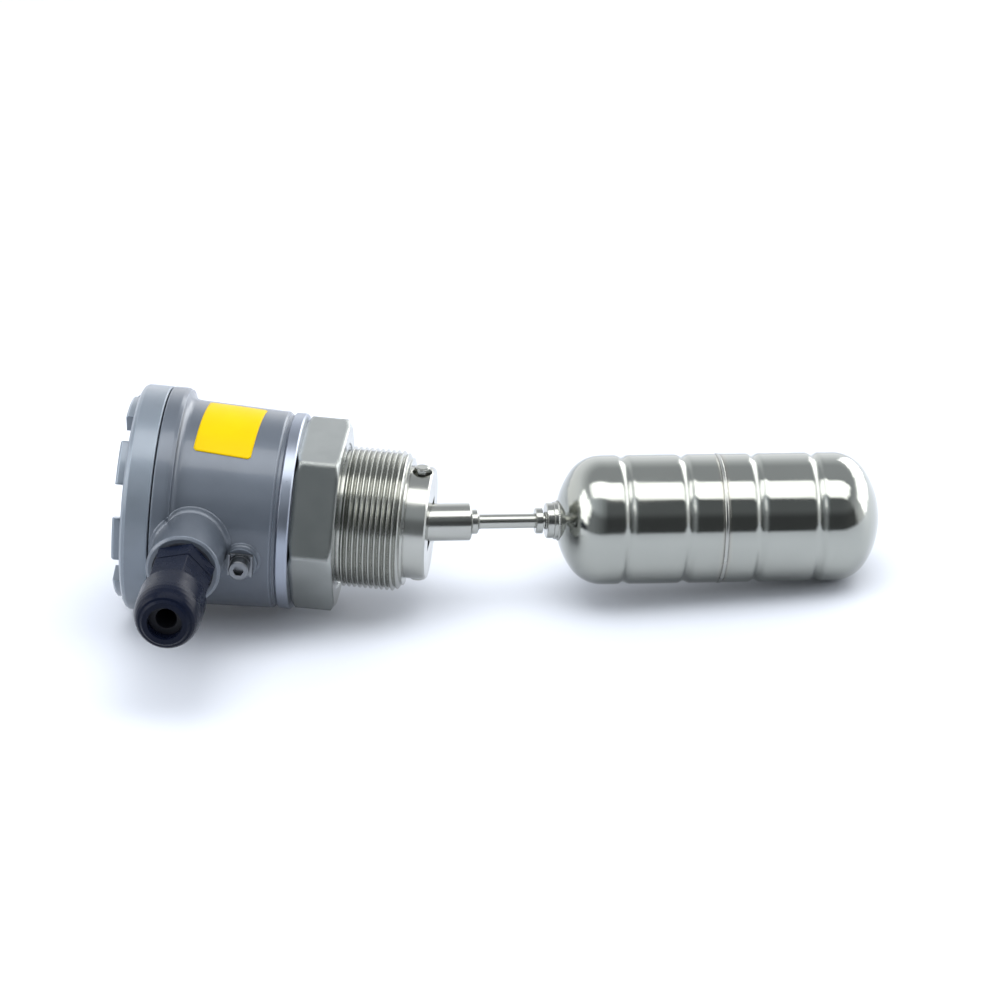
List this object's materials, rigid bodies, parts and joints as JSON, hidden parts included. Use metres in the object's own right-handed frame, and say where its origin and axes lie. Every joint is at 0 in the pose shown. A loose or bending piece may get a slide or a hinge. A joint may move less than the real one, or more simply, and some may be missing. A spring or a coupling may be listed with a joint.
{
  "type": "float level controller",
  "caption": "Side mounted magnetic float level switch: round cast housing with screw cover and cable gland, hexagon with male pipe thread, pivoted arm and capsule float.",
  "frame": {"origin": "on the body axis in the sealing face of the hexagon, where the thread starts", "axes": "+X along the body axis from the sealing face through the thread towards the float, +Z along the pivot pin, -Y out of the cable gland"},
  "size_m": [0.3176, 0.1852, 0.096],
  "materials": {
    "housing_paint": "satin blue-grey paint on cast aluminium",
    "ring_alloy": "satin",
    "stainless": "turned and polished",
    "black_nylon": "satin",
    "black_rubber": "matte",
    "magnet": "sintered, ground",
    "lever_plastic": "satin",
    "switch_case": "satin",
    "button_plastic": "gloss",
    "plate_laminate": "satin laminate",
    "block_plastic": "satin",
    "brass": "plated"
  },
  "bodies": {
    "housing": {"housing_body": "housing_paint", "cover_seal": "black_rubber", "end_ring": "ring_alloy", "spigot_gasket": "black_rubber", "process_fitting": "stainless", "lock_nut": "stainless", "pivot_pin": "stainless", "pivot_screw_top": "stainless", "pivot_screw_bottom": "stainless", "gland_washer": "black_rubber", "gland_body": "black_nylon", "gland_insert": "black_rubber", "gland_slip_ring": "black_nylon", "earth_screw": "stainless", "earth_spring_washer": "stainless", "earth_washer": "stainless", "switch_bracket": "stainless", "bracket_screw_top": "stainless", "bracket_screw_bottom": "stainless", "lever_pin": "stainless", "micro_switch": "switch_case", "switch_screw_front": "stainless", "switch_screw_back": "stainless", "terminal_plate": "plate_laminate", "post_top": "brass", "post_bottom": "brass", "plate_screw_top": "stainless", "plate_screw_bottom": "stainless", "terminal_block": "block_plastic", "terminal_screw_1": "brass", "terminal_screw_2": "brass", "terminal_screw_3": "brass", "inner_earth_screw": "stainless"},
    "cover": {"housing_cover": "housing_paint"},
    "gland_cap": {"gland_nut": "black_nylon"},
    "float_arm": {"arm_sleeve": "stainless", "arm_tail": "stainless", "magnet_holder": "stainless", "arm_magnet": "magnet", "arm_collar": "stainless", "arm_rod": "stainless", "rod_collar": "stainless", "float_nut": "stainless", "float_ring": "stainless", "float_socket": "stainless", "float_half_near": "stainless", "float_half_far": "stainless", "float_weld": "stainless"},
    "switch_arm": {"switch_lever": "lever_plastic", "switch_magnet": "magnet"},
    "button": {"switch_button": "button_plastic"}
  },
  "joints": [
    {"name": "float_swing", "type": "hinge", "parent": "housing", "child": "float_arm", "pos_m": [0.0326, 0, 0], "axis": [0, 0, 1], "range_deg": [-29, 0.8]},
    {"name": "lever_swing", "type": "hinge", "parent": "housing", "child": "switch_arm", "pos_m": [-0.043, 0, 0], "axis": [0, 0, 1], "range_deg": [-17.5, 0.6]},
    {"name": "button_press", "type": "slide", "parent": "housing", "child": "button", "axis": [0, 1, 0], "range_m": [-0.0001, 0.002]},
    {"name": "cover_off", "type": "slide", "parent": "housing", "child": "cover", "axis": [-1, 0, 0], "range_m": [0, 0.04]},
    {"name": "dome_nut_turn", "type": "hinge", "parent": "housing", "child": "gland_cap", "pos_m": [-0.059, -0.09, 0], "axis": [0, -1, 0], "continuous": true}
  ],
  "couplings": [
    {"joint": "lever_swing", "follows": "float_swing", "ratio": 0.6},
    {"joint": "button_press", "follows": "float_swing", "m_per_rad": -0.0039}
  ]
}
